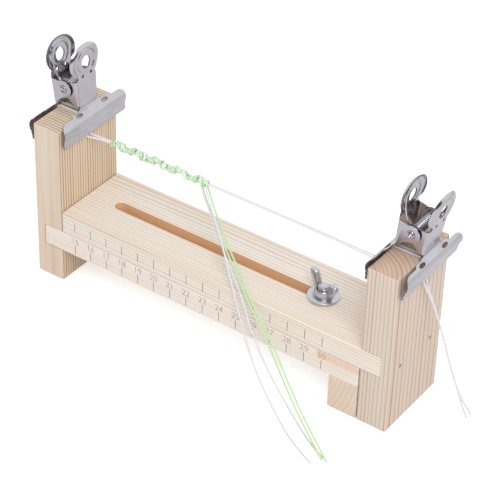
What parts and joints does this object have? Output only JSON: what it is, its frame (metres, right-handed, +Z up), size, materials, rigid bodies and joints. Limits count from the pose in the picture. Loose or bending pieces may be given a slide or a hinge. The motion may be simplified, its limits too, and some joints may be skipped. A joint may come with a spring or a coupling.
{
  "type": "paracord bracelet jig",
  "caption": "Wooden bracelet jig: posts on sliding slotted boards locked by a wing nut, with a spring clip on each post holding a cord bracelet in progress.",
  "frame": {"origin": "centre of the left post's foot, on the table", "axes": "+X along the boards from the left post to the sliding right post, +Y to the back, +Z up"},
  "size_m": [0.245, 0.0899, 0.1288],
  "materials": {
    "pine": "bare sanded pine",
    "brad_steel": "dull steel",
    "zinc_plate": "bright zinc plate",
    "nickel_plate": "bright nickel plate",
    "spring_wire": "bright wire",
    "white_cord": "fine twisted cord",
    "green_cord": "fine twisted cord",
    "braid_cord": "knotted cord"
  },
  "bodies": {
    "jig": {"left_post": "pine", "lower_board": "pine", "foot_block": "pine", "left_post_nails": "brad_steel", "foot_block_nails": "brad_steel", "clamp_bolt": "zinc_plate", "bracelet_braid": "braid_cord", "core_a_left": "white_cord", "core_b_left": "white_cord", "core_a_span": "white_cord", "core_b_span": "white_cord", "green_strand_a": "green_cord", "green_strand_b": "green_cord", "white_strand_a": "white_cord", "white_strand_b": "white_cord"},
    "slider": {"upper_board": "pine", "right_post": "pine", "right_post_nails": "brad_steel", "core_a_tail": "white_cord", "core_b_tail": "white_cord"},
    "washer": {"clamp_washer": "zinc_plate"},
    "nut": {"wing_nut": "zinc_plate"},
    "left_clip": {"left_clip_pin": "nickel_plate", "left_clip_spring": "spring_wire"},
    "left_outer_lever": {"left_clip_outer_half": "nickel_plate"},
    "left_inner_lever": {"left_clip_inner_half": "nickel_plate"},
    "right_clip": {"right_clip_pin": "nickel_plate", "right_clip_spring": "spring_wire"},
    "right_inner_lever": {"right_clip_inner_half": "nickel_plate"},
    "right_outer_lever": {"right_clip_outer_half": "nickel_plate"}
  },
  "joints": [
    {"name": "board_slide", "type": "slide", "parent": "jig", "child": "slider", "axis": [1, 0, 0], "range_m": [0, 0.123]},
    {"name": "nut_rise", "type": "slide", "parent": "jig", "child": "washer", "axis": [0, 0, 1], "range_m": [0, 0.002]},
    {"name": "nut_turn", "type": "hinge", "parent": "washer", "child": "nut", "pos_m": [0.15197, 0, 0.045], "axis": [0, 0, 1], "range_deg": [0, 720.5]},
    {"name": "left_clip_lift", "type": "slide", "parent": "jig", "child": "left_clip", "axis": [0, 0, 1], "range_m": [0, 0.025]},
    {"name": "right_clip_lift", "type": "slide", "parent": "slider", "child": "right_clip", "axis": [0, 0, 1], "range_m": [0, 0.025]},
    {"name": "left_outer_open", "type": "hinge", "parent": "left_clip", "child": "left_outer_lever", "pos_m": [-0.00228, 0.00322, 0.10365], "axis": [0, 1, 0], "range_deg": [0, 18], "stiffness_Nm_per_rad": 0.2, "springref_deg": -22.92, "deforming": ["left_clip_spring"]},
    {"name": "left_inner_open", "type": "hinge", "parent": "left_clip", "child": "left_inner_lever", "pos_m": [-0.00228, 0.00322, 0.10365], "axis": [0, 1, 0], "range_deg": [-18, 0]},
    {"name": "right_inner_open", "type": "hinge", "parent": "right_clip", "child": "right_inner_lever", "pos_m": [0.19978, 0.00293, 0.10448], "axis": [0, 1, 0], "range_deg": [0, 18], "stiffness_Nm_per_rad": 0.2, "springref_deg": -22.92, "deforming": ["right_clip_spring"]},
    {"name": "right_outer_open", "type": "hinge", "parent": "right_clip", "child": "right_outer_lever", "pos_m": [0.19978, 0.00293, 0.10448], "axis": [0, 1, 0], "range_deg": [-18, 0]}
  ],
  "couplings": [
    {"joint": "nut_turn", "follows": "nut_rise", "rad_per_m": 6283.2},
    {"joint": "left_inner_open", "follows": "left_outer_open", "ratio": -1},
    {"joint": "right_outer_open", "follows": "right_inner_open", "ratio": -1}
  ]
}
